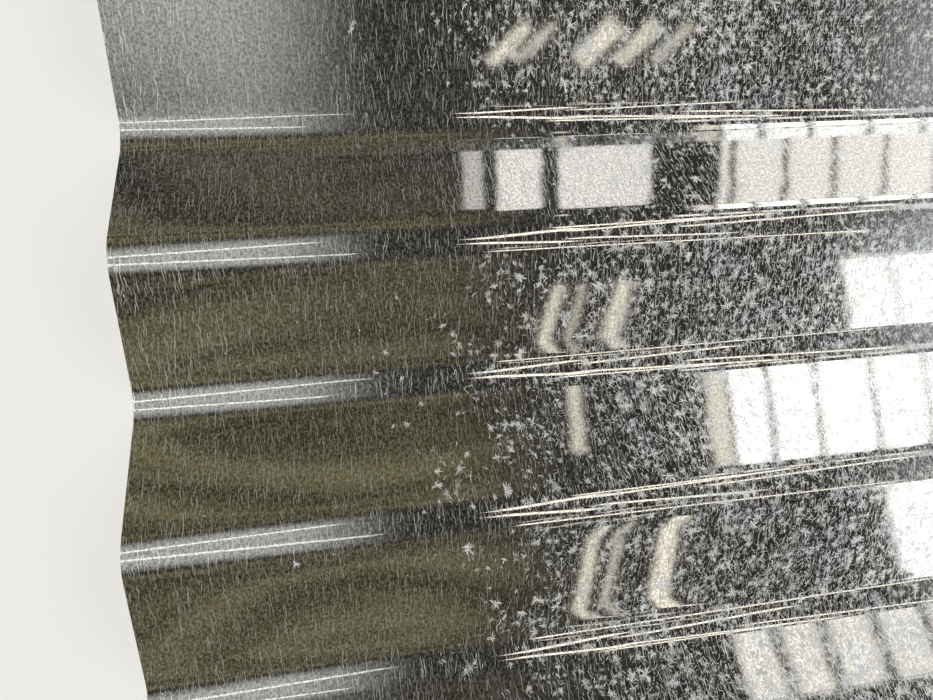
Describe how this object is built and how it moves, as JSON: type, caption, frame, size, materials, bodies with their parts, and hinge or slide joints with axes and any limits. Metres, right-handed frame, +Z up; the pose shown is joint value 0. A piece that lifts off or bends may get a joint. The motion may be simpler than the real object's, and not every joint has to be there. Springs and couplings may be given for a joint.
{
  "type": "corrugated metal sheet",
  "caption": "Thin galvanised steel sheet with round parallel corrugations, laid flat, for roofing, cladding, fencing and site hoardings.",
  "frame": {"origin": "bottom centre: under the middle of the sheet's length and width, on the plane that its valleys rest on", "axes": "+X along the corrugations, +Y across the waves towards the edge whose lip points up, +Z up"},
  "size_m": [2.5, 0.9152, 0.0164],
  "materials": {
    "galvanised_steel": "bright hot-dip zinc with a fine spangle"
  },
  "bodies": {
    "root": {"corrugated_sheet": "galvanised_steel"}
  },
  "joints": []
}
